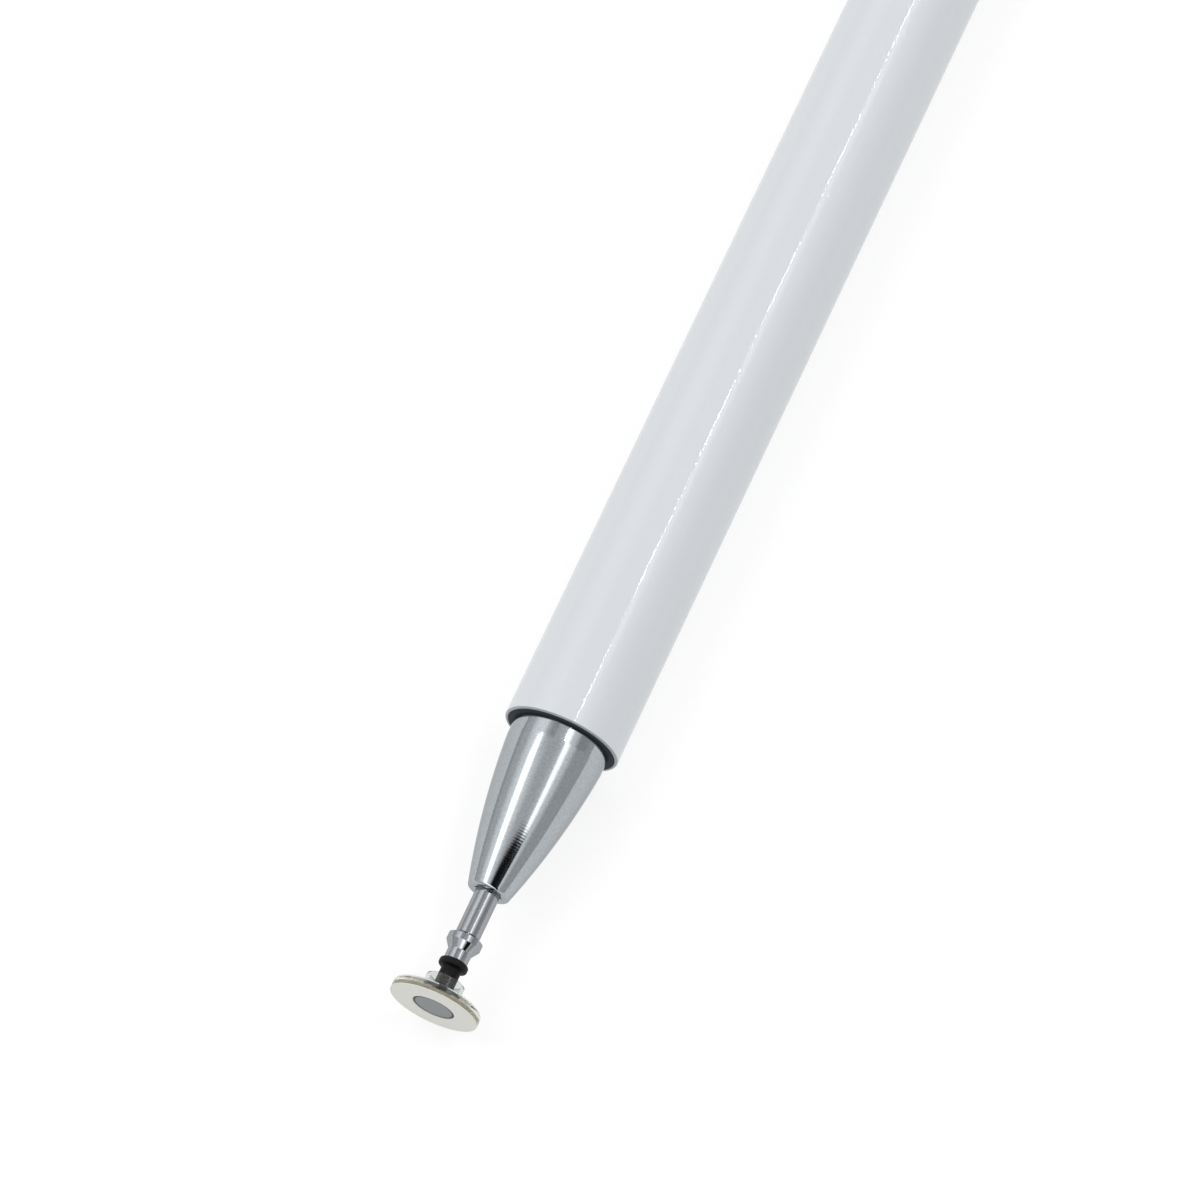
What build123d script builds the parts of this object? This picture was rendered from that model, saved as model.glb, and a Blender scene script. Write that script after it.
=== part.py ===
"""A passive stylus pen with a clear disc tip, built as twelve turned or moulded pieces.

The pen lies along X on the plane z = 0, with its tip towards -X and its tail towards +X.
The origin is under the middle of the pen's length. All sizes are in millimetres.

Every piece is round about one axis, so each is an outline turned about that axis. An outline's
first number is the place along the axis, counted from the barrel's mouth and growing towards the
tail, so what stands out of the mouth is negative. Its second number is the radius there.
"""

from build123d import *
import os

# Barrel: a thin drawn tube
barrel_diameter = 9.0
barrel_wall = 0.25
barrel_length = 138.0
barrel_edge_round = 0.14

# Clearances, measured on the radius
press_clearance = 0.01
running_clearance = 0.03

# Front bush, pressed into the barrel, and the washer in front of it, flush with the mouth
bush_length = 9.0
washer_thickness = 0.6

# Nose: how far it stands out, the gap round its root, its bulged taper and its bore
nose_length = 13.15
mouth_gap = 0.5
nose_root_length = 1.3
nose_shoulder = 0.75
nose_front_wall = 0.63
nose_bulge = 0.3
nose_front_round = 0.25
nose_spigot_length = 6.0
bore_spare_depth = 0.5
bore_countersink = 0.15

# Tip rod: the part in the nose, the part outside, its collar and its neck
rod_diameter = 1.88
rod_insert = 9.5
rod_reach = 3.6
rod_end_chamfer = 0.2
collar_rise = 0.39
collar_back_length = 0.25
collar_land_length = 0.5
collar_cone_length = 0.62
rod_neck_relief = 0.025
rod_neck_length = 0.8
rod_pin_diameter = 0.8
rod_pin_length = 0.75

# Grip ring, in a groove of the rod
ring_cord_diameter = 0.4
ring_setback = 1.5

# Rubber neck: a flange against the rod and a stem that stands in the hub
flange_rise = 0.36
flange_thickness = 0.6
flange_round = 0.22
stem_diameter = 1.52
stem_free_length = 0.96

# Disc: the clear plate and its hub, and the layers bonded under it
disc_diameter = 6.9
plate_thickness = 0.5
plate_edge_round = 0.12
hub_height = 1.45
hub_gap = 0.485
hub_wall = 0.25
hub_round = 0.11
adhesive_thickness = 0.27
film_thickness = 0.05

# Contact stud: a flat pad in the underside and a shank that goes up into the stem
pad_diameter = 3.26
pad_pocket_depth = 0.1
pad_recess = 0.03
shank_diameter = 0.7
shank_reach = 0.7

# Tail plug: a spigot in the tube, a straight land and a dome
tail_spigot_length = 8.0
tail_land_length = 1.0
tail_dome_height = 2.4
tail_edge_round = 0.1

# Radii that follow from the sizes above
barrel_radius = barrel_diameter / 2
tube_bore_radius = barrel_radius - barrel_wall
pressed_radius = tube_bore_radius - press_clearance
nose_root_radius = tube_bore_radius - mouth_gap
thread_radius = nose_root_radius - nose_shoulder
bush_bore_radius = thread_radius + running_clearance
rod_radius = rod_diameter / 2
nose_bore_radius = rod_radius + running_clearance
nose_front_radius = nose_bore_radius + nose_front_wall
collar_radius = rod_radius + collar_rise
rod_neck_radius = rod_radius - rod_neck_relief
rod_pin_radius = rod_pin_diameter / 2
ring_outer_radius = nose_bore_radius - press_clearance
ring_centre_radius = ring_outer_radius - ring_cord_diameter / 2
ring_groove_radius = ring_outer_radius - ring_cord_diameter - press_clearance
stem_radius = stem_diameter / 2
flange_radius = stem_radius + flange_rise
hub_bore_radius = stem_radius + hub_gap
hub_radius = hub_bore_radius + hub_wall
disc_radius = disc_diameter / 2
pad_radius = pad_diameter / 2
pad_hole_radius = pad_radius + press_clearance
shank_radius = shank_diameter / 2

# Places along the axis, from the mouth out to the tip
bush_front = washer_thickness
nose_front = -nose_length
collar_start = nose_front - rod_reach
collar_land_start = collar_start - collar_back_length
collar_land_end = collar_land_start - collar_land_length
collar_end = collar_land_end - collar_cone_length
flange_back = collar_end - rod_neck_length
flange_front = flange_back - flange_thickness
hub_rim = flange_front - stem_free_length
plate_back = hub_rim - hub_height
plate_face = plate_back - plate_thickness
adhesive_face = plate_face - adhesive_thickness
contact_face = adhesive_face - film_thickness
pad_back = plate_face + pad_pocket_depth
rod_tail = nose_front + rod_insert
tail_end = barrel_length + tail_land_length + tail_dome_height


def turned(*lines):
    """The solid that a closed outline of lines and arcs sweeps about the pen's axis."""
    return revolve(make_face(lines), axis=Axis.X)


def turned_outline(*points):
    """The solid turned from a closed outline of straight lines through the points."""
    return turned(Polyline(*points, close=True))


def round_edge(solid, place, radius, size):
    """The solid with its circular edge at one place and radius rounded by the given size."""
    circles = solid.edges().filter_by(GeomType.CIRCLE)
    edges = [
        edge for edge in circles
        if abs(edge.arc_center.X - place) < 1e-4 and abs(edge.radius - radius) < 1e-4
    ]
    return fillet(edges, size)


def barrel_tube():
    """The white tube: a plain thin wall with both outer edges rounded."""
    tube = turned_outline(
        (0, tube_bore_radius),
        (0, barrel_radius),
        (barrel_length, barrel_radius),
        (barrel_length, tube_bore_radius),
    )
    edge_round = min(barrel_edge_round, barrel_wall * 0.7)
    tube = round_edge(tube, 0, barrel_radius, edge_round)
    return round_edge(tube, barrel_length, barrel_radius, edge_round)


def front_bush():
    """The brass bush pressed into the tube, bored for the nose's thread."""
    return turned_outline(
        (bush_front, bush_bore_radius),
        (bush_front, pressed_radius),
        (bush_front + bush_length, pressed_radius),
        (bush_front + bush_length, bush_bore_radius),
    )


def seal_washer():
    """The dark washer between the nose's shoulder and the bush."""
    return turned_outline(
        (0, bush_bore_radius),
        (0, tube_bore_radius - running_clearance),
        (bush_front, tube_bore_radius - running_clearance),
        (bush_front, bush_bore_radius),
    )


def nose_cone():
    """The nose: a spigot in the bush, a shoulder, a straight root and a bulged taper, bored blind."""
    spigot_end = bush_front + nose_spigot_length
    bore_end = rod_tail + bore_spare_depth
    countersink_radius = nose_bore_radius + bore_countersink
    taper = SagittaArc(
        (-nose_root_length, nose_root_radius),
        (nose_front, nose_front_radius),
        -nose_bulge,
    )
    bore_side = Polyline(
        (nose_front, nose_front_radius),
        (nose_front, countersink_radius),
        (nose_front + bore_countersink, nose_bore_radius),
        (bore_end, nose_bore_radius),
        (bore_end, 0),
        (spigot_end, 0),
        (spigot_end, thread_radius),
        (0, thread_radius),
        (0, nose_root_radius),
        (-nose_root_length, nose_root_radius),
    )
    front_ring = nose_front_radius - countersink_radius
    nose = turned(taper, bore_side)
    return round_edge(nose, nose_front, nose_front_radius, min(nose_front_round, front_ring / 2))


def tip_rod():
    """The rod with its ring groove, double-cone collar, neck and the pin that holds the rubber."""
    groove_half = ring_cord_diameter / 2 + press_clearance
    groove_middle = rod_tail - ring_setback
    return turned_outline(
        (rod_tail, 0),
        (rod_tail, rod_radius - rod_end_chamfer),
        (rod_tail - rod_end_chamfer, rod_radius),
        (groove_middle + groove_half, rod_radius),
        (groove_middle + groove_half, ring_groove_radius),
        (groove_middle - groove_half, ring_groove_radius),
        (groove_middle - groove_half, rod_radius),
        (collar_start, rod_radius),
        (collar_land_start, collar_radius),
        (collar_land_end, collar_radius),
        (collar_end, rod_neck_radius),
        (flange_back, rod_neck_radius),
        (flange_back, rod_pin_radius),
        (flange_back - rod_pin_length, rod_pin_radius),
        (flange_back - rod_pin_length, 0),
    )


def grip_ring():
    """The rubber ring in the rod's groove."""
    section = Pos(rod_tail - ring_setback, ring_centre_radius) * Circle(ring_cord_diameter / 2)
    return revolve(section, axis=Axis.X)


def flex_neck():
    """The rubber neck: a rounded flange and a stem, bored at one end for the rod's pin and at the other
    for the stud's shank."""
    pin_bore_radius = rod_pin_radius + press_clearance
    shank_bore_radius = shank_radius + press_clearance
    pin_bore_end = flange_back - rod_pin_length - press_clearance
    shank_bore_end = plate_back + shank_reach + press_clearance
    edge_round = min(flange_round, flange_thickness * 0.45)
    neck = turned_outline(
        (flange_back, pin_bore_radius),
        (flange_back, flange_radius),
        (flange_front, flange_radius),
        (flange_front, stem_radius),
        (plate_back, stem_radius),
        (plate_back, shank_bore_radius),
        (shank_bore_end, shank_bore_radius),
        (shank_bore_end, 0),
        (pin_bore_end, 0),
        (pin_bore_end, pin_bore_radius),
    )
    neck = round_edge(neck, flange_back, flange_radius, edge_round)
    return round_edge(neck, flange_front, flange_radius, edge_round)


def clear_disc():
    """The clear plate with its hollow hub, a hole for the shank and a pocket for the pad."""
    shank_hole_radius = shank_radius + press_clearance
    disc = turned_outline(
        (plate_face, pad_hole_radius),
        (plate_face, disc_radius),
        (plate_back, disc_radius),
        (plate_back, hub_radius),
        (hub_rim, hub_radius),
        (hub_rim, hub_bore_radius),
        (plate_back, hub_bore_radius),
        (plate_back, shank_hole_radius),
        (pad_back, shank_hole_radius),
        (pad_back, pad_hole_radius),
    )
    disc = round_edge(disc, plate_back, disc_radius, min(plate_edge_round, plate_thickness / 2))
    return round_edge(disc, hub_rim, hub_radius, min(hub_round, hub_wall * 0.45))


def disc_layer(face, back):
    """A thin ring under the plate, with a hole for the pad."""
    return turned_outline(
        (face, pad_hole_radius),
        (face, disc_radius),
        (back, disc_radius),
        (back, pad_hole_radius),
    )


def contact_stud():
    """The pad in the underside, with the shank that goes through the plate into the rubber stem."""
    pad_face = contact_face + pad_recess
    return turned_outline(
        (pad_face, 0),
        (pad_face, pad_radius),
        (pad_back, pad_radius),
        (pad_back, shank_radius),
        (plate_back + shank_reach, shank_radius),
        (plate_back + shank_reach, 0),
    )


def tail_plug():
    """The plug: a spigot pressed into the tube, a land flush with the tube and a low dome."""
    land_end = barrel_length + tail_land_length
    dome = TangentArc((tail_end, 0), (land_end, barrel_radius), tangent=(0, 1))
    body = Polyline(
        (tail_end, 0),
        (barrel_length - tail_spigot_length, 0),
        (barrel_length - tail_spigot_length, pressed_radius),
        (barrel_length, pressed_radius),
        (barrel_length, barrel_radius),
        (land_end, barrel_radius),
    )
    return round_edge(turned(dome, body), barrel_length, barrel_radius, tail_edge_round)


pieces = {
    "barrel_tube": barrel_tube(),
    "front_bush": front_bush(),
    "seal_washer": seal_washer(),
    "nose_cone": nose_cone(),
    "tip_rod": tip_rod(),
    "grip_ring": grip_ring(),
    "flex_neck": flex_neck(),
    "clear_disc": clear_disc(),
    "film_adhesive": disc_layer(adhesive_face, plate_face),
    "disc_film": disc_layer(contact_face, adhesive_face),
    "contact_stud": contact_stud(),
    "tail_plug": tail_plug(),
}

# From the mouth's frame to the pen's own: the middle of its length over the origin, lying on z = 0
to_pen_frame = Pos(-(contact_face + tail_end) / 2, 0, barrel_radius)

os.makedirs("parts", exist_ok=True)
for name, piece in pieces.items():
    export_step(to_pen_frame * piece, f"parts/{name}.step")

print("overall length", tail_end - contact_face)
print("mouth at x", to_pen_frame.position.X)
print("tilt centre at x", to_pen_frame.position.X + (flange_front + plate_back) / 2)
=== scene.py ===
"""Dresses a stylus pen with a clear disc tip: white lacquer, turned chrome, black rubber and clear plastic.

Every piece is round about the pen's axis. Outlines are in millimetres: the first number is the place along
the axis from the barrel's mouth, growing towards the tail, and the second is the radius there.
"""
from types import SimpleNamespace

import bpy
import numpy as np
from bpy.props import FloatProperty, FloatVectorProperty, PointerProperty
from mathutils import Matrix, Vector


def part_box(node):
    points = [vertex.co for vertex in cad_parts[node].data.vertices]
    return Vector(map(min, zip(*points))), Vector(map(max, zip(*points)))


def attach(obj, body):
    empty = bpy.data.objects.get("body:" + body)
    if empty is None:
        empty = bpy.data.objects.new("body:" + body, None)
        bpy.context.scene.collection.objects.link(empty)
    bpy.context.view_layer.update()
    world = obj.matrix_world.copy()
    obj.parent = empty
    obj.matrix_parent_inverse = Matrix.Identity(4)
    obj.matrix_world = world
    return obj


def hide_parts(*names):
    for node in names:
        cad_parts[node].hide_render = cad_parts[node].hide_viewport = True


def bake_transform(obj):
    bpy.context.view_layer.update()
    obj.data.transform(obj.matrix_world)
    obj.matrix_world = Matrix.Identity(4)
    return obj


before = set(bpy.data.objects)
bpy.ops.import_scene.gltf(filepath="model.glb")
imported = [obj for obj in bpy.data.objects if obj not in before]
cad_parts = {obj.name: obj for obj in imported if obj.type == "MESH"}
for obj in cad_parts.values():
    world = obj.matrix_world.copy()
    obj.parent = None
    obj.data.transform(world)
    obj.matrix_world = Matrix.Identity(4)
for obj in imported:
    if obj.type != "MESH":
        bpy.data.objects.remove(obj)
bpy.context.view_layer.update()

bl_info = {
    "name": "Stylus pen with a disc tip",
    "version": (1, 0, 0),
    "blender": (4, 5, 0),
    "location": "3D View > Sidebar > Stylus",
    "description": "Makes the pieces of a stylus pen, their finishes and a plain studio round them",
    "category": "Object",
}

MM = 0.001
BARREL_LOW, BARREL_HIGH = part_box("barrel_tube")
MOUTH = BARREL_LOW.x
AXIS_HEIGHT = (BARREL_LOW.z + BARREL_HIGH.z) / 2

# Clearance of a push fit and a turning fit, overlap of a bond and rounding of a broken edge, in millimetres
PUSH_FIT = 0.01
TURNING_FIT = 0.03
BOND = 0.01
BROKEN_EDGE = 0.03

# Columns of faces round each piece, and rows of faces along each curve and thread
COLUMNS = {
    "tube": 256,
    "plug": 256,
    "washer": 192,
    "bush": 128,
    "nose": 192,
    "rod": 160,
    "ring": 96,
    "neck": 128,
    "disc": 192,
    "glue": 192,
    "film": 192,
    "pad": 160,
}
ROWS = {"dome": 40, "bush_thread": 150, "taper": 70, "spigot_thread": 110, "ring": 24}

# An edge that turns by more than this is drawn sharp
SHARP = np.radians(28)


def place_of(node, end):
    """Where a CAD node starts (end 0) or stops (end 1) along the axis, in millimetres from the mouth."""
    return (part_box(node)[end].x - MOUTH) / MM


def radius_of(node):
    """A CAD node's largest radius in millimetres."""
    low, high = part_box(node)
    return max(-low.y, high.y) / MM


def linear(code):
    """The linear colour of an sRGB hex code.

    A part c of it becomes c / 12.92 in the darks, and ((c + 0.055) / 1.055) to the power of 2.4 above them.
    """
    part = np.array([int(code[i:i + 2], 16) for i in (1, 3, 5)]) / 255
    light = np.where(part <= 0.04045, part / 12.92, ((part + 0.055) / 1.055) ** 2.4)
    return (*light.tolist(), 1.0)


def length(label, description, millimetres):
    """A length that a user can change, given in millimetres and kept in metres."""
    return FloatProperty(
        name=label, description=description, default=millimetres * MM, min=0, precision=6, unit="LENGTH"
    )


def colour(label, description, code):
    """A colour that a user can change."""
    return FloatVectorProperty(
        name=label, description=description, default=linear(code), size=4, min=0, max=1, subtype="COLOR"
    )


def angle(label, description, degrees):
    """An angle that a user can change."""
    return FloatProperty(name=label, description=description, default=np.radians(degrees), subtype="ANGLE")


def in_mm(settings):
    """A group's lengths in millimetres and its colours as they are, under their own names."""
    values = {key: getattr(settings, key) for key in type(settings).__annotations__}
    return SimpleNamespace(
        **{key: value / MM if isinstance(value, float) else tuple(value) for key, value in values.items()}
    )


# Sizes and colours

class BarrelSettings(bpy.types.PropertyGroup):
    """The lacquered tube and the plug in its tail."""

    wall: length("Wall", "Thickness of the tube", 0.25)
    lip_round: length("Lip round", "Rounding of the tube's outer edges", 0.14)
    inner_round: length("Inner round", "Rounding of the mouth's inner edge", 0.05)
    plug_depth: length("Plug depth", "How far the tail plug reaches into the tube", 8.0)
    plug_land: length("Plug land", "Straight part of the plug behind the tube", 1.0)
    plug_round: length("Plug round", "Rounding of the plug where it meets the tube", 0.1)
    plug_lead: length("Plug lead-in", "Rounding of the plug's end in the tube", 0.3)
    dome_round: length("Dome round", "Rounding between the plug's straight part and its dome", 0.15)
    lacquer: colour("Lacquer", "White gloss lacquer", "#dce0e4")
    # Painted shade: a grey laid on the rounding of the mouth's outer edge, darker than the lacquer
    lip_shade_grey: colour("Thin lacquer", "The same lacquer where it draws thin over an edge", "#a3a9ad")
    wave: length("Wave", "Width of the lacquer's long waves round the tube", 1.3)
    wave_length: length("Wave length", "Length of those waves along the tube", 16.0)
    peel: length("Orange peel", "Width of the lacquer's fine ripples", 0.35)


class MouthSettings(bpy.types.PropertyGroup):
    """The dark washer in the mouth and the threaded bush behind it."""

    bore: length("Bore", "Radius of the hole in the washer and the bush", 3.03)
    washer_round: length("Washer round", "Rounding of the washer's front edges", 0.05)
    bush_chamfer: length("Bush chamfer", "Chamfer on the bush's outer edges", 0.1)
    lead_in: length("Lead-in", "Countersink at both ends of the bush's thread", 0.2)
    nylon: colour("Nylon", "Dark blue-grey washer", "#343a3e")
    brass: colour("Brass", "Turned brass bush", "#c9a45c")


class NoseSettings(bpy.types.PropertyGroup):
    """The chromed nose."""

    root: length("Root", "Length of the straight root in front of the mouth", 1.3)
    root_radius: length("Root radius", "Radius of the straight root", 3.75)
    front_radius: length("Front radius", "Radius of the front end", 1.6)
    bulge: length("Bulge", "How far the taper swells past a straight cone", 0.3)
    front_round: length("Front round", "Rounding of the front edge", 0.25)
    bore: length("Bore", "Radius of the hole for the tip", 0.97)
    countersink: length("Countersink", "Width of the bevel round that hole", 0.15)
    spare_depth: length("Spare depth", "How far that hole goes on behind the rod", 0.5)
    pitch: length("Thread pitch", "Lead of the thread on the spigot", 0.75)
    depth: length("Thread depth", "Depth of that thread", 0.4)
    run_out: length("Thread run-out", "Length over which the thread ends at the spigot's end", 0.5)
    undercut: length("Undercut", "Depth of the groove between the shoulder and the thread", 0.35)
    inner_round: length("Inner round", "Rounding in that groove and at the bottom of the hole", 0.1)
    chamfer: length("Chamfer", "Depth of the chamfer on the spigot's end", 0.3)
    chamfer_length: length("Chamfer length", "Length of that chamfer", 0.6)
    row_gap: length("Row gap", "Space that the thread's rows keep from the groove and from the end", 0.1)
    chrome: colour("Chrome", "Turned and chromed brass", "#a9afb3")
    lines: length("Turning lines", "Spacing of the tool marks", 0.22)


class RodSettings(bpy.types.PropertyGroup):
    """The bright rod of the push-in tip, with its grip ring."""

    radius: length("Radius", "Radius of the rod", 0.94)
    end_chamfer: length("End chamfer", "Chamfer on the end in the nose", 0.2)
    collar: length("Collar", "Radius of the double-cone collar", 1.33)
    collar_back: length("Collar back", "Length of the collar's short cone, towards the nose", 0.25)
    collar_land: length("Collar land", "Length of the collar's straight band", 0.5)
    collar_cone: length("Collar cone", "Length of the collar's long cone, towards the disc", 0.62)
    collar_edge: length("Collar edge", "Rounding of the collar's edges", 0.015)
    neck: length("Neck", "Radius of the neck in front of the collar", 0.915)
    neck_length: length("Neck length", "Length of that neck", 0.8)
    pin: length("Pin", "Radius of the pin that holds the rubber", 0.4)
    nickel: colour("Nickel", "Bright turned nickel", "#9da0a4")
    rubber: colour("Ring", "Black grip ring", "#141414")
    lines: length("Turning lines", "Spacing of the tool marks", 0.18)


class NeckSettings(bpy.types.PropertyGroup):
    """The black rubber neck that lets the disc tilt."""

    flange: length("Flange", "Radius of the flange", 1.12)
    flange_thickness: length("Flange thickness", "Thickness of the flange", 0.6)
    flange_round: length("Flange round", "Rounding of the flange", 0.22)
    stem: length("Stem", "Radius of the stem", 0.76)
    fillet: length("Fillet", "Rounding between the flange and the stem", 0.1)
    bend_start: length("Bend start", "How far in front of the flange the bend begins", 0.05)
    bend_end: length("Bend end", "How far from the stem's foot the bend ends", 0.2)
    row_step: length("Row step", "Longest step between the rows that bend", 0.06)
    rubber: colour("Rubber", "Black conductive rubber", "#0d0b0a")


class DiscSettings(bpy.types.PropertyGroup):
    """The clear disc, and the layers and contact under it."""

    hub: length("Hub", "Outer radius of the hub", 1.495)
    hub_bore: length("Hub bore", "Inner radius of the hub", 1.245)
    hub_height: length("Hub height", "Height of the hub on the plate", 1.45)
    hub_round: length("Hub round", "Rounding of the hub's rim", 0.11)
    hub_fillet: length("Hub fillet", "Rounding where the hub meets the plate", 0.06)
    plate_round: length("Plate round", "Rounding of the plate's back edge", 0.2)
    pad: length("Pad", "Radius of the contact pad", 1.63)
    # The dark ring round the pad is painted shade, standing in for the shadow in the gap round it
    pad_shade_width: length("Pad rim", "Width of the dark rim round the pad", 0.2)
    pad_shade_fade: length("Pad rim fade", "Width over which that rim begins", 0.06)
    edge_round: length("Edge round", "Rounding of the hub's inner edge and of the contact's edges", 0.05)
    glue_spot: length("Glue spot", "Radius of the black conductive glue on the pad's back", 1.0)
    pocket: length("Pocket", "Depth of the pad's pocket in the plate", 0.1)
    shank: length("Shank", "Radius of the contact's shank", 0.35)
    haze: length("Haze", "Width round the hub where the plate is as hazy as the hub", 0.05)
    haze_fade: length("Haze fade", "Width over which that haze ends", 0.2)
    flow: length("Flow marks", "Width of the flow marks in the plastic", 0.9)
    yellowed: length("Yellowed edge", "Width of the film's yellowed edge", 0.04)
    yellow_full: length("Full yellow", "Width of that edge where its colour is full", 0.015)
    clear_hub: colour("Clear hub", "Clear moulded polycarbonate, hazier in the hub", "#d9dedc")
    clear_plate: colour("Clear plate", "The same plastic in the plate", "#fafbfa")
    film: colour("Film", "Milky contact film", "#e8e9e2")
    film_edge: colour("Film edge", "The film's yellowed edge", "#e6e1c8")
    glue: colour("Glue", "Thin clear adhesive", "#faf8ee")
    contact: colour("Contact", "Grey plated contact", "#7f8385")
    # Painted shade for the ring round the contact, and also the black conductive glue on the pad's back
    rim: colour("Rim", "Dark rim of the contact", "#1c1e20")


class StageSettings(bpy.types.PropertyGroup):
    """The floor, the lights and the camera."""

    lens: FloatProperty(name="Lens", description="Focal length of the camera", default=263.1, unit="CAMERA")
    eye: FloatVectorProperty(
        name="Eye",
        description="Where the camera stands",
        default=(-0.27493, -0.09821, 0.60018),
        subtype="TRANSLATION",
    )
    turn: angle("Turn", "Camera's turn about the upright", -66.2)
    rise: angle("Rise", "Camera's height above the horizon", 67.4)
    floor: colour("Floor", "Pale studio floor", "#f4f4f4")
    ambient: FloatProperty(name="Ambient", description="Level of the even light from all round", default=0.64)
    ceiling: length("Ceiling", "Height of the lamp cloth that gloss reflects", 300.0)


# Outlines and surfaces

def arc_between(start, end, bulge, count):
    """Points on the circular arc from start to end that swells by bulge to the left of the chord.

    The circle's radius is chord squared over eight bulges plus half a bulge. The points are even in angle.
    """
    start, end = np.array(start, float), np.array(end, float)
    chord = end - start
    span = np.hypot(*chord)
    radius = span**2 / (8 * bulge) + bulge / 2
    out = np.array([-chord[1], chord[0]]) / span
    centre = (start + end) / 2 - out * (radius - bulge)
    half = np.arcsin(span / 2 / radius)
    sweep = np.linspace(half, -half, count)[:, None]
    return centre + radius * (np.cos(sweep) * out - np.sin(sweep) * chord / span)


def rounded(corners, closed, most=0.7, straight=0.01, step=np.radians(9), fewest=4):
    """An outline through corners (place, radius, rounding), each corner with a rounding made a tangent arc.

    The arc starts and stops at rounding times the tangent of half the turn from the corner, but no further
    from it than most times the shorter side. A corner that turns by less than straight is left as it is. An
    arc has a point for each step of its turn, and at least fewest. Each long side also gets a row close to
    both ends, so that smooth shading stays flat there.
    """
    corners = np.asarray(corners, float)
    points = corners[:, :2]
    rows = []
    for index, (here, rounding) in enumerate(zip(points, corners[:, 2])):
        if not closed and index in (0, len(points) - 1):
            rows.append(here[None])
            continue
        before = points[index - 1] - here
        after = points[(index + 1) % len(points)] - here
        long_before, long_after = np.hypot(*before), np.hypot(*after)
        before, after = before / long_before, after / long_after
        turn = np.pi - np.arccos(np.clip(before @ after, -1, 1))
        if rounding == 0 or turn < straight:
            rows.append(here[None])
            continue
        reach = min(rounding * np.tan(turn / 2), most * min(long_before, long_after))
        radius = reach / np.tan(turn / 2)
        middle = (before + after) / np.hypot(*(before + after))
        centre = here + middle * np.hypot(reach, radius)
        first, last = here + before * reach - centre, here + after * reach - centre
        share = np.linspace(0, 1, max(fewest, int(np.ceil(turn / step)) + 1))[:, None]
        sweep = (np.sin((1 - share) * turn) * first + np.sin(share * turn) * last) / np.sin(turn)
        rows.append(centre + sweep)
    return held(np.vstack(rows), closed)


def held(points, closed, margin=0.02):
    """The outline with a row added close to both ends of each side longer than ten margins."""
    nexts = np.roll(points, -1, axis=0)
    side = nexts - points
    span = np.hypot(side[:, 0], side[:, 1])[:, None]
    unit = side / np.maximum(span, 1e-9)
    stack = np.stack([points, points + unit * margin, nexts - unit * margin], axis=1)
    keep = np.repeat(span > 10 * margin, 3, axis=1)
    keep[:, 0] = True
    if not closed:
        keep[-1, 1:] = False
    return stack[keep]


def evened(points, step):
    """The outline with its long sides cut into even parts no longer than step."""
    nexts = np.vstack([points[1:], points[-1:]])
    parts = np.maximum(np.ceil(np.hypot(*(nexts - points).T) / step), 1).astype(int)
    index = np.repeat(np.arange(len(points)), parts)
    share = (np.arange(len(index)) - np.repeat(np.cumsum(parts) - parts, parts)) / np.repeat(parts, parts)
    return points[index] + (nexts - points)[index] * share[:, None]


def turned(name, place, radius, closed):
    """The surface that an outline sweeps about the pen's axis.

    At angle a a point lies at x = mouth + place, y = radius times sin a and z = axis height + radius times
    cos a. place and radius are grids of rows along the outline and columns round the axis. A closed outline
    joins its last row to its first. An open one starts and ends on the axis, and each end row is one point.
    """
    place, radius = np.broadcast_arrays(place, radius)
    middle = place[:, 0], radius[:, 0]
    area = np.sum(middle[0] * np.roll(middle[1], -1) - np.roll(middle[0], -1) * middle[1])
    if area < 0:
        place, radius = place[::-1], radius[::-1]
    rows, columns = place.shape
    around = np.linspace(0, 2 * np.pi, columns, endpoint=False)[None]
    grid = np.stack(
        [
            MOUTH + place * MM,
            radius * np.sin(around) * MM,
            AXIS_HEIGHT + radius * np.cos(around) * MM,
        ],
        axis=2,
    )
    number = np.arange(rows * columns).reshape(rows, columns)
    if not closed:
        number[0] = number[0, 0]
        number[-1] = number[-1, 0]
    low = number if closed else number[:-1]
    high = np.roll(number, -1, axis=0) if closed else number[1:]
    quads = np.stack([low, np.roll(low, -1, axis=1), np.roll(high, -1, axis=1), high], axis=2).reshape(-1, 4)
    used, packed = np.unique(quads, return_inverse=True)
    quads = packed.reshape(-1, 4)
    start_fan = quads[:, 0] == quads[:, 1]
    end_fan = quads[:, 2] == quads[:, 3]
    faces = (
        quads[~(start_fan | end_fan)].tolist()
        + quads[start_fan][:, 1:].tolist()
        + quads[end_fan][:, :3].tolist()
    )
    mesh = bpy.data.meshes.new(name)
    mesh.from_pydata(grid.reshape(-1, 3)[used].tolist(), [], faces)
    mesh.polygons.foreach_set("use_smooth", np.ones(len(mesh.polygons), bool))
    mesh.set_sharp_from_angle(angle=SHARP)
    piece = bpy.data.objects.new(name, mesh)
    bpy.context.scene.collection.objects.link(piece)
    return piece


def turned_outline(name, outline, closed):
    """A plain turned piece: the outline is the same at every angle."""
    return turned(name, outline[:, :1], np.repeat(outline[:, 1:], COLUMNS[name], axis=1), closed)


def eased(value, start, end):
    """0 before start and 1 after end, with an S-shaped rise between: 3 share squared less 2 share cubed."""
    share = np.clip((value - start) / (end - start), 0, 1)
    return share * share * (3 - 2 * share)


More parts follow.
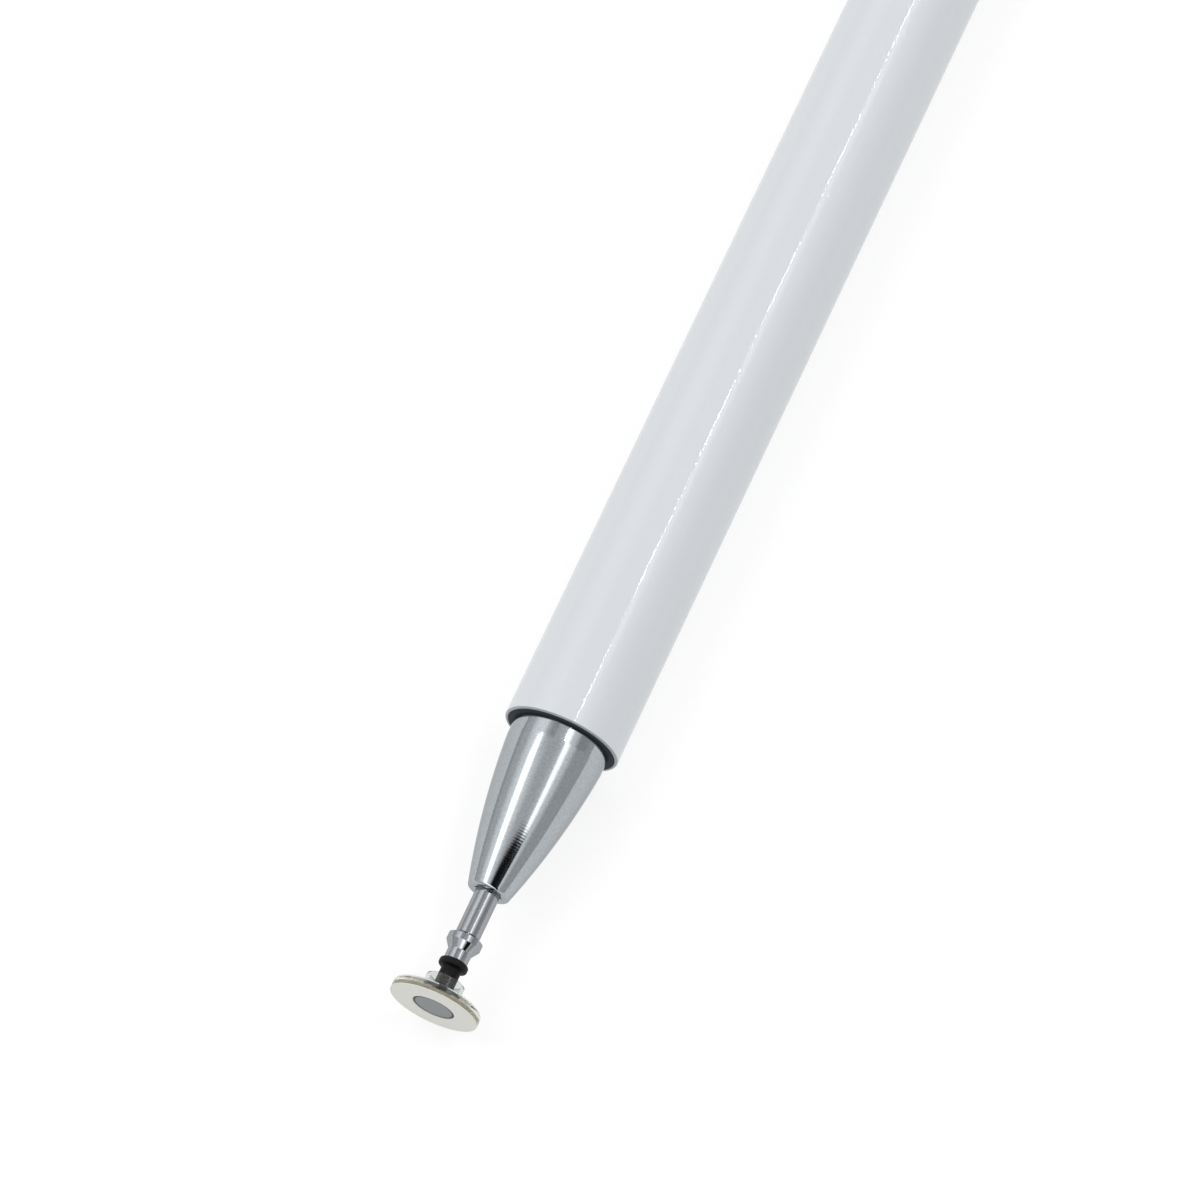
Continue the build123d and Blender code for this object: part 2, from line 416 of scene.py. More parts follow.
def thread_cut(place, columns, begins, ends, pitch, depth):
    """How deep a one-start right-hand thread is cut at each row and angle: 0 at the crest, depth at the root.

    It is a cosine of place over pitch plus angle over a turn, pushed to a narrow flat at crest and root. It
    grows to its full depth between the two places of begins, and is gone again between those of ends.
    """
    around = np.arange(columns)[None] / columns
    wave = np.cos(2 * np.pi * (place[:, None] / pitch + around))
    full = eased(place, *begins) * (1 - eased(place, *ends))
    return full[:, None] * np.clip(0.5 - 0.75 * wave, 0, 1) * depth


def dress(piece, body, node, material):
    """The piece rides on its body, stands for its CAD node and wears its material."""
    piece.data.materials.append(material)
    if body:
        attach(piece, body)
    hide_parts(node)


# Materials

def add(tree, kind, inputs=None, **settings):
    """Adds a node with its settings, and sets each input to a value or links it to another node's output."""
    made = tree.nodes.new(kind)
    for key, value in settings.items():
        setattr(made, key, value)
    for key, value in (inputs or {}).items():
        if isinstance(value, bpy.types.NodeSocket):
            tree.links.new(value, made.inputs[key])
        else:
            made.inputs[key].default_value = value
    return made


def blank(name):
    """A new material and its node tree, which is empty."""
    material = bpy.data.materials.new(name)
    material.use_nodes = True
    material.node_tree.nodes.clear()
    return material, material.node_tree


def surface(name, **inputs):
    """A new material, its node tree, its main shader and the piece's own coordinates."""
    material, tree = blank(name)
    shader = add(tree, "ShaderNodeBsdfPrincipled", inputs)
    add(tree, "ShaderNodeOutputMaterial", {"Surface": shader.outputs["BSDF"]})
    spot = add(tree, "ShaderNodeTexCoord").outputs["Object"]
    return material, tree, shader, spot


def parts_of(material):
    """A dressed material's node tree, main shader, coordinates and present colour."""
    tree = material.node_tree
    shader = tree.nodes["Principled BSDF"]
    spot = tree.nodes["Texture Coordinate"].outputs["Object"]
    return tree, shader, spot, shader.inputs["Base Color"].links[0].from_socket


def shade(value, factor):
    """A colour made lighter or darker by a factor."""
    return (*(np.array(value[:3]) * factor).tolist(), 1.0)


def lacquer_on_tube(settings):
    """White lacquer, sprayed on a drawn tube and baked."""
    # A clear hard gloss over white. Long shallow waves and a fine orange peel break up a thin highlight, and
    # a grey line of painted shade lies on the rounding of the mouth's outer edge.
    material, tree, shader, spot = surface(
        "white_baked_lacquer",
        **{
            "Roughness": 0.42,
            "Specular IOR Level": 0.1,
            "Coat Weight": 0.6,
            "Coat Roughness": 0.01,
            "Coat IOR": 1.5,
        },
    )
    stretch = (1 / (settings.wave_length * MM), 1 / (settings.wave * MM), 1 / (settings.wave * MM))
    stretched = add(tree, "ShaderNodeMapping", {"Vector": spot, "Scale": stretch}).outputs["Vector"]
    wave = add(tree, "ShaderNodeTexNoise", {"Vector": stretched, "Scale": 1.0, "Detail": 2.0}).outputs["Fac"]
    peel = add(
        tree, "ShaderNodeTexNoise", {"Vector": spot, "Scale": 1 / (settings.peel * MM), "Detail": 0.0}
    ).outputs["Fac"]
    waved = add(
        tree, "ShaderNodeBump", {"Strength": 1.0, "Distance": 0.007 * MM, "Height": wave}
    ).outputs["Normal"]
    peeled = add(
        tree, "ShaderNodeBump", {"Strength": 1.0, "Distance": 0.004 * MM, "Height": peel, "Normal": waved}
    ).outputs["Normal"]
    tone = add(
        tree,
        "ShaderNodeMix",
        {"Factor": wave, "A": shade(settings.lacquer, 0.98), "B": settings.lacquer},
        data_type="RGBA",
    ).outputs["Result"]
    along = add(tree, "ShaderNodeSeparateXYZ", {"Vector": spot}).outputs["X"]
    # The painted shade on the lip begins at 0.8 of the lip's rounding and is full at 0.6 of it
    dark_line_start, dark_line_full = 0.8 * settings.lip_round, 0.6 * settings.lip_round
    lip = add(
        tree,
        "ShaderNodeMapRange",
        {"Value": along, "From Min": MOUTH + dark_line_start * MM, "From Max": MOUTH + dark_line_full * MM},
    ).outputs["Result"]
    # Mixes the painted shade's grey into the lacquer at the lip
    lip_shaded = add(
        tree, "ShaderNodeMix", {"Factor": lip, "A": tone, "B": settings.lip_shade_grey}, data_type="RGBA"
    ).outputs["Result"]
    tree.links.new(lip_shaded, shader.inputs["Base Color"])
    tree.links.new(peeled, shader.inputs["Normal"])
    tree.links.new(peeled, shader.inputs["Coat Normal"])
    return material


def turned_metal(name, base, spacing, depth, roughness):
    """Bright plated metal with the fine rings that a lathe tool leaves."""
    # Sharp reflections round the axis, and ones broken up along it by the rings. The rings and the plating's
    # grain are drawn coarser than real ones, because finer ones would not show.
    material, tree, shader, spot = surface(name, **{"Metallic": 1.0, "Specular Tint": linear("#dcdcdc")})
    scratch_width, scratch_length, grain_width = spacing * 0.7 * MM, 3.0 * MM, 0.17 * MM

    # At a scale of 1 the wave texture's bands are this far apart
    repeat = np.pi / 10
    rings = add(
        tree,
        "ShaderNodeTexWave",
        {
            "Vector": spot,
            "Scale": repeat / (spacing * MM),
            "Distortion": 0.6,
            "Detail": 1.0,
            "Detail Scale": 0.4,
        },
        wave_type="BANDS",
        bands_direction="X",
    ).outputs["Fac"]
    strokes = (1 / scratch_width, 1 / scratch_length, 1 / scratch_length)
    stroked = add(tree, "ShaderNodeMapping", {"Vector": spot, "Scale": strokes}).outputs["Vector"]
    scratch = add(tree, "ShaderNodeTexNoise", {"Vector": stroked, "Scale": 1.0, "Detail": 3.0}).outputs["Fac"]
    grain = add(
        tree, "ShaderNodeTexNoise", {"Vector": spot, "Scale": 1 / grain_width, "Detail": 1.0}
    ).outputs["Fac"]
    ringed = add(
        tree, "ShaderNodeBump", {"Strength": 1.0, "Distance": depth * MM, "Height": rings}
    ).outputs["Normal"]
    scratched = add(
        tree, "ShaderNodeBump", {"Strength": 1.0, "Distance": depth * MM, "Height": scratch, "Normal": ringed}
    ).outputs["Normal"]
    tone = add(
        tree,
        "ShaderNodeMix",
        {"Factor": grain, "A": shade(base, 0.81), "B": shade(base, 1.19)},
        data_type="RGBA",
    ).outputs["Result"]
    rough = add(
        tree,
        "ShaderNodeMapRange",
        {
            "Value": grain,
            "From Min": 0.3,
            "From Max": 0.7,
            "To Min": roughness * 0.8,
            "To Max": roughness * 1.25,
        },
    ).outputs["Result"]
    tree.links.new(tone, shader.inputs["Base Color"])
    tree.links.new(rough, shader.inputs["Roughness"])
    tree.links.new(scratched, shader.inputs["Normal"])
    return material


def moulded(name, base, grain, depth, spread, **inputs):
    """A moulded or cast surface with a fine grain in its colour and its relief."""
    # Rubber, nylon and film scatter light softly, and the grain keeps them from looking flat.
    material, tree, shader, spot = surface(name, **inputs)
    speckle = add(
        tree, "ShaderNodeTexNoise", {"Vector": spot, "Scale": 1 / (grain * MM), "Detail": 3.0}
    ).outputs["Fac"]
    tone = add(
        tree,
        "ShaderNodeMix",
        {"Factor": speckle, "A": shade(base, 1 - spread), "B": shade(base, 1 + spread)},
        data_type="RGBA",
    ).outputs["Result"]
    relief = add(
        tree, "ShaderNodeBump", {"Strength": 1.0, "Distance": depth * MM, "Height": speckle}
    ).outputs["Normal"]
    tree.links.new(tone, shader.inputs["Base Color"])
    tree.links.new(relief, shader.inputs["Normal"])
    return material


def from_axis(tree, spot):
    """How far a point lies from the pen's axis."""
    flat = add(
        tree, "ShaderNodeMapping", {"Vector": spot, "Location": (0, 0, -AXIS_HEIGHT), "Scale": (0, 1, 1)}
    ).outputs["Vector"]
    return add(tree, "ShaderNodeVectorMath", {0: flat}, operation="LENGTH").outputs["Value"]


def clear_plastic(settings):
    """Polycarbonate, moulded clear and slightly hazy."""
    # What is behind it shows bent and softened. A little milk keeps it pale, and its corners catch light.
    material, tree, shader, spot = surface(
        "clear_polycarbonate",
        **{"Roughness": 0.04, "IOR": 1.42, "Specular IOR Level": 0.25, "Transmission Weight": 0.985},
    )
    flow = add(
        tree, "ShaderNodeTexNoise", {"Vector": spot, "Scale": 1 / (settings.flow * MM), "Detail": 1.0}
    ).outputs["Fac"]
    rippled = add(
        tree, "ShaderNodeBump", {"Strength": 1.0, "Distance": 0.006 * MM, "Height": flow}
    ).outputs["Normal"]
    haze = add(
        tree,
        "ShaderNodeMix",
        {"Factor": flow, "A": shade(settings.clear_hub, 0.97), "B": settings.clear_hub},
        data_type="RGBA",
    ).outputs["Result"]
    tree.links.new(haze, shader.inputs["Base Color"])
    tree.links.new(rippled, shader.inputs["Normal"])
    hazy = settings.hub + settings.haze
    return rimmed(material, hazy, hazy + settings.haze_fade, settings.clear_plate)


def rimmed(material, inner, outer, rim):
    """The material with another colour near its piece's edge, begun at a radius inner and full at outer."""
    tree, shader, spot, plain = parts_of(material)
    edge = add(
        tree,
        "ShaderNodeMapRange",
        {"Value": from_axis(tree, spot), "From Min": inner * MM, "From Max": outer * MM},
        interpolation_type="SMOOTHSTEP",
    ).outputs["Result"]
    mixed = add(
        tree, "ShaderNodeMix", {"Factor": edge, "A": plain, "B": rim}, data_type="RGBA"
    ).outputs["Result"]
    tree.links.new(mixed, shader.inputs["Base Color"])
    return material


def plated_contact(settings, face):
    """Thin satin nickel plate with painted shade round its edge, black with conductive glue on its back."""
    # An even speckled grey with a soft sheen and a dark line of painted shade round it, and a dark back
    # that the disc shows.
    material = moulded(
        "satin_nickel_plate",
        settings.contact,
        grain=0.13,
        depth=0.0008,
        spread=0.3,
        Metallic=1.0,
        Roughness=0.42,
    )
    # Painted shade: a dark ring laid round the pad's edge
    dark_line_start = settings.pad - settings.pad_shade_width
    rimmed(material, dark_line_start, dark_line_start + settings.pad_shade_fade, settings.rim)
    tree, shader, spot, front = parts_of(material)
    along = add(tree, "ShaderNodeSeparateXYZ", {"Vector": spot}).outputs["X"]
    behind = add(
        tree, "ShaderNodeMath", {0: along, 1: MOUTH + (face + BROKEN_EDGE) * MM}, operation="GREATER_THAN"
    ).outputs["Value"]
    bare = add(
        tree,
        "ShaderNodeMath",
        {0: from_axis(tree, spot), 1: settings.glue_spot * MM},
        operation="GREATER_THAN",
    ).outputs["Value"]
    back = add(
        tree, "ShaderNodeMix", {"Factor": bare, "A": settings.rim, "B": settings.glue}, data_type="RGBA"
    ).outputs["Result"]
    backed = add(
        tree, "ShaderNodeMix", {"Factor": behind, "A": front, "B": back}, data_type="RGBA"
    ).outputs["Result"]
    tree.links.new(backed, shader.inputs["Base Color"])
    return material


# Pieces

class STYLUS_OT_barrel(bpy.types.Operator):
    """Makes the lacquered tube and the plug that closes its tail"""

    bl_idname = "stylus.barrel"
    bl_label = "Barrel and tail plug"

    def execute(self, context):
        settings = in_mm(context.scene.stylus_barrel)
        lacquer = lacquer_on_tube(settings)
        radius = radius_of("barrel_tube")
        tail = place_of("barrel_tube", 1)
        bore = radius - settings.wall
        tube = [
            (0, bore, settings.inner_round),
            (0, radius, settings.lip_round),
            (tail, radius, settings.lip_round),
            (tail, bore, BROKEN_EDGE),
        ]
        piece = turned_outline("tube", rounded(tube, True), True)
        dress(piece, "barrel", "barrel_tube", lacquer)

        end = place_of("tail_plug", 1)
        land = tail + settings.plug_land
        start = tail - settings.plug_depth
        pressed = bore - PUSH_FIT
        rise = end - land
        ball = (radius**2 + rise**2) / (2 * rise)
        tilt = np.linspace(0, np.arcsin(radius / ball), ROWS["dome"])[:-1]
        dome = np.stack([end - ball * (1 - np.cos(tilt)), ball * np.sin(tilt)], axis=1)
        plug = [(*point, 0) for point in dome.tolist()]
        plug += [
            (land, radius, settings.dome_round),
            (tail, radius, settings.plug_round),
            (tail, pressed, BROKEN_EDGE),
            (start, pressed, settings.plug_lead),
            (start, 0, 0),
        ]
        piece = turned_outline("plug", rounded(plug, False), False)
        dress(piece, "barrel", "tail_plug", lacquer)
        return {"FINISHED"}


class STYLUS_OT_mouth(bpy.types.Operator):
    """Makes the dark washer in the barrel's mouth and the threaded bush behind it"""

    bl_idname = "stylus.mouth"
    bl_label = "Washer and bush"

    def execute(self, context):
        settings = in_mm(context.scene.stylus_mouth)
        nose = in_mm(context.scene.stylus_nose)
        nylon = moulded(
            "blue_black_nylon",
            settings.nylon,
            grain=0.12,
            depth=0.001,
            spread=0.12,
            **{"Roughness": 0.6, "Specular IOR Level": 0.08},
        )
        front, back, outer = place_of("seal_washer", 0), place_of("seal_washer", 1), radius_of("seal_washer")
        washer = [
            (front, settings.bore, settings.washer_round),
            (front, outer, settings.washer_round),
            (back, outer, BROKEN_EDGE),
            (back, settings.bore, BROKEN_EDGE),
        ]
        piece = turned_outline("washer", rounded(washer, True), True)
        dress(piece, "washer", "seal_washer", nylon)

        columns = COLUMNS["bush"]
        front, back, outer = place_of("front_bush", 0), place_of("front_bush", 1), radius_of("front_bush")
        lead, chamfer = settings.lead_in, settings.bush_chamfer
        thread_start, thread_end = front + lead, back - lead
        rows = np.linspace(thread_end, thread_start, ROWS["bush_thread"])
        run_in = nose.pitch / 2
        begins, ends = (thread_start, thread_start + run_in), (thread_end - run_in, thread_end)
        bore = settings.bore + thread_cut(rows, columns, begins, ends, nose.pitch, nose.depth)
        shell = np.array(
            [
                (front, settings.bore + lead),
                (front, outer - chamfer),
                (front + chamfer, outer),
                (back - chamfer, outer),
                (back, outer - chamfer),
                (back, settings.bore + lead),
            ]
        )
        place = np.concatenate([rows, shell[:, 0]])
        radius = np.vstack([bore, np.repeat(shell[:, 1:], columns, axis=1)])
        brass = turned_metal("turned_brass", settings.brass, spacing=0.2, depth=0.0012, roughness=0.28)
        dress(turned("bush", place[:, None], radius, True), "barrel", "front_bush", brass)
        return {"FINISHED"}


class STYLUS_OT_nose(bpy.types.Operator):
    """Makes the chromed nose: front edge, bulged taper, straight root, shoulder and threaded spigot"""

    bl_idname = "stylus.nose"
    bl_label = "Nose"

    def execute(self, context):
        settings = in_mm(context.scene.stylus_nose)
        columns = COLUMNS["nose"]
        front, back = place_of("nose_cone", 0), place_of("nose_cone", 1)
        shoulder = place_of("seal_washer", 0) - PUSH_FIT
        thread_start = place_of("front_bush", 0)
        thread = in_mm(context.scene.stylus_mouth).bore - TURNING_FIT
        relief = thread - settings.undercut
        bore_end = place_of("tip_rod", 1) + settings.spare_depth
        bevel = settings.countersink
        taper = arc_between(
            (front, settings.front_radius),
            (-settings.root, settings.root_radius),
            settings.bulge,
            ROWS["taper"],
        )
        taper = taper[taper[:, 0] > front + 2 * settings.front_round]
        corners = [
            (bore_end, 0, 0),
            (bore_end, settings.bore, settings.inner_round),
            (front + bevel, settings.bore, BROKEN_EDGE),
            (front, settings.bore + bevel, BROKEN_EDGE),
            (front, settings.front_radius, settings.front_round),
        ]
        corners += [(*point, 0) for point in taper.tolist()]
        corners += [
            (shoulder, settings.root_radius, BROKEN_EDGE),
            (shoulder, relief, settings.inner_round),
            (thread_start, relief, 0),
        ]
        body = rounded(corners, False)
        run_in, gap = settings.pitch * 0.8, settings.row_gap
        rows = np.linspace(thread_start + gap, back - 1.5 * gap, ROWS["spigot_thread"])
        begins, ends = (thread_start, thread_start + run_in), (back - settings.run_out, back - gap)
        groove = settings.undercut * (1 - eased(rows, *begins))
        chamfer = settings.chamfer * eased(rows, back - settings.chamfer_length, back)
        cut = np.maximum(
            thread_cut(rows, columns, begins, ends, settings.pitch, settings.depth),
            (groove + chamfer)[:, None],
        )
        end = np.array([(back, relief), (back, 0)])
        place = np.concatenate([body[:, 0], rows, end[:, 0]])
        radius = np.vstack(
            [
                np.repeat(body[:, 1:], columns, axis=1),
                thread - cut,
                np.repeat(end[:, 1:], columns, axis=1),
            ]
        )
        chrome = turned_metal("turned_chrome", settings.chrome, settings.lines, depth=0.0005, roughness=0.075)
        dress(turned("nose", place[:, None], radius, False), "nose", "nose_cone", chrome)
        return {"FINISHED"}


class STYLUS_OT_rod(bpy.types.Operator):
    """Makes the push-in rod with its double-cone collar, and the rubber ring that grips the nose"""

    bl_idname = "stylus.rod"
    bl_label = "Tip rod and grip ring"

    def execute(self, context):
        settings = in_mm(context.scene.stylus_rod)
        tail, front = place_of("tip_rod", 1), place_of("tip_rod", 0)
        ring_low, ring_high = place_of("grip_ring", 0), place_of("grip_ring", 1)
        ring_out = radius_of("grip_ring")
        cord = (ring_high - ring_low) / 2
        groove = ring_out - 2 * cord - PUSH_FIT
        flange = place_of("flex_neck", 1)
        cone_end = flange + settings.neck_length
        land_end = cone_end + settings.collar_cone
        land_start = land_end + settings.collar_land
        back_start = land_start + settings.collar_back
        body, edge = settings.radius, settings.collar_edge
        corners = [
            (tail, 0, 0),
            (tail, body - settings.end_chamfer, BROKEN_EDGE),
            (tail - settings.end_chamfer, body, BROKEN_EDGE),
            (ring_high + PUSH_FIT, body, BROKEN_EDGE),
            (ring_high + PUSH_FIT, groove, BROKEN_EDGE),
            (ring_low - PUSH_FIT, groove, BROKEN_EDGE),
            (ring_low - PUSH_FIT, body, BROKEN_EDGE),
            (back_start, body, edge),
            (land_start, settings.collar, edge),
            (land_end, settings.collar, edge),
            (cone_end, settings.neck, edge),
            (flange, settings.neck, BROKEN_EDGE),
            (flange, settings.pin, BROKEN_EDGE),
            (front, settings.pin, BROKEN_EDGE),
            (front, 0, 0),
        ]
        nickel = turned_metal(
            "bright_turned_nickel", settings.nickel, settings.lines, depth=0.00015, roughness=0.075
        )
        rod = turned_outline("rod", rounded(corners, False), False)
        dress(rod, "tip", "tip_rod", nickel)

        around = np.linspace(0, 2 * np.pi, ROWS["ring"], endpoint=False)
        middle = (ring_low + ring_high) / 2
        section = np.stack([middle + cord * np.cos(around), ring_out - cord + cord * np.sin(around)], axis=1)
        rubber = moulded(
            "black_ring_rubber",
            settings.rubber,
            grain=0.06,
            depth=0.002,
            spread=0.2,
            Roughness=0.55,
            IOR=1.52,
        )
        dress(turned_outline("ring", section, True), "grip", "grip_ring", rubber)
        return {"FINISHED"}


class STYLUS_OT_neck(bpy.types.Operator):
    """Makes the black rubber neck between the rod and the disc"""

    bl_idname = "stylus.neck"
    bl_label = "Rubber neck"

    def execute(self, context):
        settings = in_mm(context.scene.stylus_neck)
        pin = in_mm(context.scene.stylus_rod).pin + PUSH_FIT
        shank = in_mm(context.scene.stylus_disc).shank + PUSH_FIT
        back, foot = place_of("flex_neck", 1), place_of("flex_neck", 0)
        flange_front = back - settings.flange_thickness
        pin_end = place_of("tip_rod", 0) - PUSH_FIT
        shank_end = place_of("contact_stud", 1) + PUSH_FIT
        corners = [
            (shank_end, 0, 0),
            (shank_end, shank, BROKEN_EDGE),
            (foot, shank, BROKEN_EDGE),
            (foot, settings.stem, BROKEN_EDGE),
            (flange_front, settings.stem, settings.fillet),
            (flange_front, settings.flange, settings.flange_round),
            (back, settings.flange, settings.flange_round),
            (back, pin, BROKEN_EDGE),
            (pin_end, pin, BROKEN_EDGE),
            (pin_end, 0, 0),
        ]
        outline = evened(rounded(corners, False), settings.row_step)
        neck = turned_outline("neck", outline, False)
        rubber = moulded(
            "black_conductive_rubber",
            settings.rubber,
            grain=0.08,
            depth=0.003,
            spread=0.25,
            **{"Roughness": 0.55, "Specular IOR Level": 0.18},
        )
        dress(neck, None, "flex_neck", rubber)
        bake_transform(neck)
        return {"FINISHED"}


class STYLUS_OT_disc(bpy.types.Operator):
    """Makes the clear disc with its hollow hub, the layers bonded under it and the contact pad"""

    bl_idname = "stylus.disc"
    bl_label = "Disc and contact"

    def execute(self, context):
        settings = in_mm(context.scene.stylus_disc)
        radius = radius_of("clear_disc")
        face, rim = place_of("clear_disc", 0), place_of("clear_disc", 1)
        plate = rim - settings.hub_height
        hole = settings.pad + PUSH_FIT
        pocket = face + settings.pocket
        shank = settings.shank
        corners = [
            (face, hole, 0),
            (face, radius, BROKEN_EDGE),
            (plate, radius, settings.plate_round),
            (plate, settings.hub, settings.hub_fillet),
            (rim, settings.hub, settings.hub_round),
            (rim, settings.hub_bore, settings.edge_round),
            (plate, settings.hub_bore, settings.hub_fillet),
            (plate, shank + PUSH_FIT, BROKEN_EDGE),
            (pocket, shank + PUSH_FIT, 0),
            (pocket, hole, 0),
        ]
        disc = turned_outline("disc", rounded(corners, True), True)
        dress(disc, "disc", "clear_disc", clear_plastic(settings))

        # Bonded to the plate, the clear adhesive bends light far less than it would alone
        glue = moulded(
            "thin_adhesive",
            settings.glue,
            grain=0.1,
            depth=0.0005,
            spread=0.04,
            **{"Roughness": 0.05, "IOR": 1.1, "Transmission Weight": 0.95},
        )
        film = moulded(
            "milky_film", settings.film, grain=0.12, depth=0.0015, spread=0.09, Roughness=0.45, IOR=1.5
        )
        rimmed(film, radius - settings.yellowed, radius - settings.yellow_full, settings.film_edge)
        outer = radius - PUSH_FIT
        layers = (("glue", "film_adhesive", "adhesive", glue), ("film", "disc_film", "milky_film", film))
        for name, node, slot, material in layers:
            low, high = place_of(node, 0), place_of(node, 1) + BOND
            edge = (high - low) / 4
            layer = [(low, hole, edge), (low, outer, edge), (high, outer, edge), (high, hole, edge)]
            dress(turned_outline(name, rounded(layer, True), True), "disc", node, material)

        low, high = place_of("contact_stud", 0), place_of("contact_stud", 1)
        seat = pocket + BOND
        pad = [
            (high, 0, 0),
            (high, shank, settings.edge_round),
            (seat, shank, 0),
            (seat, settings.pad, 0),
            (low, settings.pad, settings.edge_round),
            (low, 0, 0),
        ]
        piece = turned_outline("pad", rounded(pad, False), False)
        dress(piece, "disc", "contact_stud", plated_contact(settings, low))
        return {"FINISHED"}


# Stage

def rays(tree):
    """1 for rays of the camera, of gloss and through clear plastic, and 0 for rays that light the object."""
    path = add(tree, "ShaderNodeLightPath").outputs
    seen = path["Is Camera Ray"]
    for other in ("Is Glossy Ray", "Is Transmission Ray"):
        seen = add(tree, "ShaderNodeMath", {0: seen, 1: path[other]}, operation="MAXIMUM").outputs["Value"]
    return seen


def flat_panel(name, half, place, turn, material):
    """A flat square of the stage, with sides of twice half, at a place and turned about the upright."""
    mesh = bpy.data.meshes.new(name)
    corners = [(-half, -half, 0), (half, -half, 0), (half, half, 0), (-half, half, 0)]
    mesh.from_pydata(corners, [], [(0, 1, 2, 3)])
    mesh.materials.append(material)
    panel = bpy.data.objects.new(name, mesh)
    panel.matrix_world = Matrix.Translation(place) @ Matrix.Rotation(turn, 4, "Z")
    bpy.context.scene.collection.objects.link(panel)
    return panel


def soft_patch(tree, strength, edges):
    """A soft patch of light: its strength times a smooth step, from none to full, for each of its edges."""
    light = strength
    for way, none, full in edges:
        step = add(
            tree,
            "ShaderNodeMapRange",
            {"Value": way, "From Min": none, "From Max": full},
            interpolation_type="SMOOTHSTEP",
        ).outputs["Result"]
        light = add(tree, "ShaderNodeMath", {0: light, 1: step}, operation="MULTIPLY").outputs["Value"]
    return light


def lamp_cloth(height):
    """The studio's ceiling as gloss sees it: a pale cloth with soft lamps, and the dark round the camera.

    Places on it are in heights of the cloth over the pen: side to the camera's right, and ahead of it.
    """
    material, tree = blank("lit_ceiling_cloth")
    spot = add(tree, "ShaderNodeTexCoord").outputs["Object"]
    heights = add(tree, "ShaderNodeMapping", {"Vector": spot, "Scale": (1 / height,) * 3}).outputs["Vector"]
    parts = add(tree, "ShaderNodeSeparateXYZ", {"Vector": heights}).outputs
    side, ahead = parts["X"], parts["Y"]

    # Ways across the cloth that lean with the left lamp and with the dark's near edge, and the beat along the
    # bare tube, which is brighter in some places than in others
    left_slope, near_slope = 0.1, 0.48
    beats, first_beat = 99.4, -24.1
    lean_left = add(
        tree, "ShaderNodeMath", {0: ahead, 1: left_slope, 2: side}, operation="MULTIPLY_ADD"
    ).outputs["Value"]
    lean_near = add(
        tree, "ShaderNodeMath", {0: side, 1: near_slope, 2: ahead}, operation="MULTIPLY_ADD"
    ).outputs["Value"]
    beat = add(
        tree, "ShaderNodeMath", {0: ahead, 1: beats, 2: first_beat}, operation="MULTIPLY_ADD"
    ).outputs["Value"]
    flicker = add(tree, "ShaderNodeMath", {0: beat}, operation="COSINE").outputs["Value"]

    # Each light's strength and soft edges: a way, where along it there is none of the light, and where all.
    # They are a pale band, the left lamp's glow and middle, and the right lamp's glow, middle, reflector and
    # bare tube.
    lamps = (
        (0.15, ((side, -8.0, -2.4), (side, 1.3, 0.9))),
        (0.65, ((side, -2.0, -0.7), (side, -0.04, -0.46))),
        (1.5, ((lean_left, -0.83, -0.72), (lean_left, -0.37, -0.47), (ahead, 0.72, 0.5))),
        (0.35, ((side, 0.15, 0.5), (side, 1.45, 0.8))),
        (1.6, ((side, 0.38, 0.5), (side, 0.8, 0.54))),
        (1.8, ((side, 0.45, 0.53), (side, 0.66, 0.57), (ahead, 0.21, 0.24))),
        (28.0, ((side, 0.435, 0.445), (side, 0.48, 0.47), (ahead, 0.21, 0.24), (flicker, -0.5, 0.9))),
    )
    cloth_light = 0.6
    light = cloth_light
    for strength, edges in lamps:
        patch = soft_patch(tree, strength, edges)
        light = add(tree, "ShaderNodeMath", {0: light, 1: patch}, operation="ADD").outputs["Value"]

    # The same for what is dark: dimmer cloth far ahead and to the right, and the dark round the camera
    darks = (
        (0.3, ((side, -0.5, -0.25), (side, 0.1, -0.02), (ahead, 0.2, 0.42))),
        (0.2, ((side, 1.0, 1.4), (ahead, -0.3, -0.1))),
        (0.985, ((side, -0.18, 0.03), (side, 0.8, 0.69), (ahead, -0.08, -0.25), (lean_near, -0.04, -0.115))),
    )
    for strength, edges in darks:
        shaded = add(
            tree, "ShaderNodeMath", {0: 1.0, 1: soft_patch(tree, strength, edges)}, operation="SUBTRACT"
        ).outputs["Value"]
        light = add(tree, "ShaderNodeMath", {0: light, 1: shaded}, operation="MULTIPLY").outputs["Value"]
    glow = add(tree, "ShaderNodeEmission", {"Strength": light})
    add(tree, "ShaderNodeOutputMaterial", {"Surface": glow.outputs["Emission"]})
    return material


def floor_paper(base):
    """Pale paper that lights the pen from below, and shows white with the pen's soft shadow on it."""
    # Shares of the paper's colour that light the pen and that take its shadow, and the white under the shadow
    lighting, shadowed, glow = 0.92, 0.34, 0.75
    material, tree = blank("pale_floor_paper")
    paper = add(tree, "ShaderNodeBsdfDiffuse", {"Color": shade(base, lighting)})
    shadow = add(tree, "ShaderNodeBsdfDiffuse", {"Color": shade(base, shadowed)})
    white = add(tree, "ShaderNodeEmission", {"Strength": glow})
    shown = add(tree, "ShaderNodeAddShader", {0: shadow.outputs["BSDF"], 1: white.outputs["Emission"]})
    mixed = add(
        tree, "ShaderNodeMixShader", {0: rays(tree), 1: paper.outputs["BSDF"], 2: shown.outputs["Shader"]}
    )
    add(tree, "ShaderNodeOutputMaterial", {"Surface": mixed.outputs["Shader"]})
    return material


